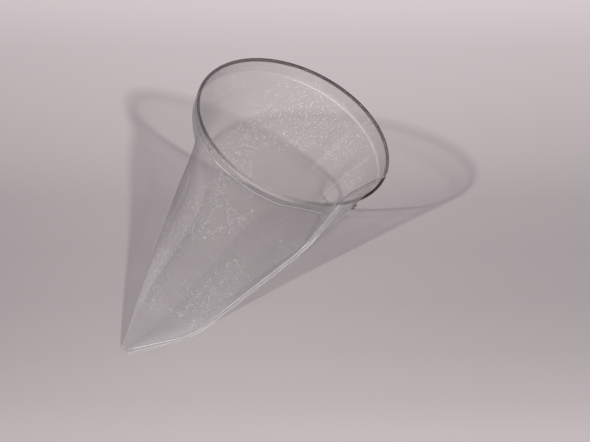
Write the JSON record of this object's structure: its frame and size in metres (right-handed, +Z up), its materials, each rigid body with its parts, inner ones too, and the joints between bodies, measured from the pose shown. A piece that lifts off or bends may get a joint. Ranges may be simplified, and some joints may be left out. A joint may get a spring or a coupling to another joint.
{
  "type": "conical mesh strainer",
  "caption": "Conical strainer bag of sheer white mesh, hemmed around a hoop of coil spring, with a sewn side seam, lying on its side.",
  "frame": {"origin": "on the table under the middle of the strainer's bounding box", "axes": "+X from the bag's tip towards its mouth along the table, +Z up, +Y across the mouth"},
  "size_m": [0.3087, 0.2044, 0.1869],
  "materials": {
    "mesh": "sheer white nylon mesh, fine plain weave",
    "spring_steel": "bright coil spring, closely wound",
    "thread": "white nylon sewing thread"
  },
  "bodies": {
    "root": {"mesh_bag": "mesh", "spring_hoop": "spring_steel", "hem_thread": "thread", "seam_thread": "thread"}
  },
  "joints": []
}
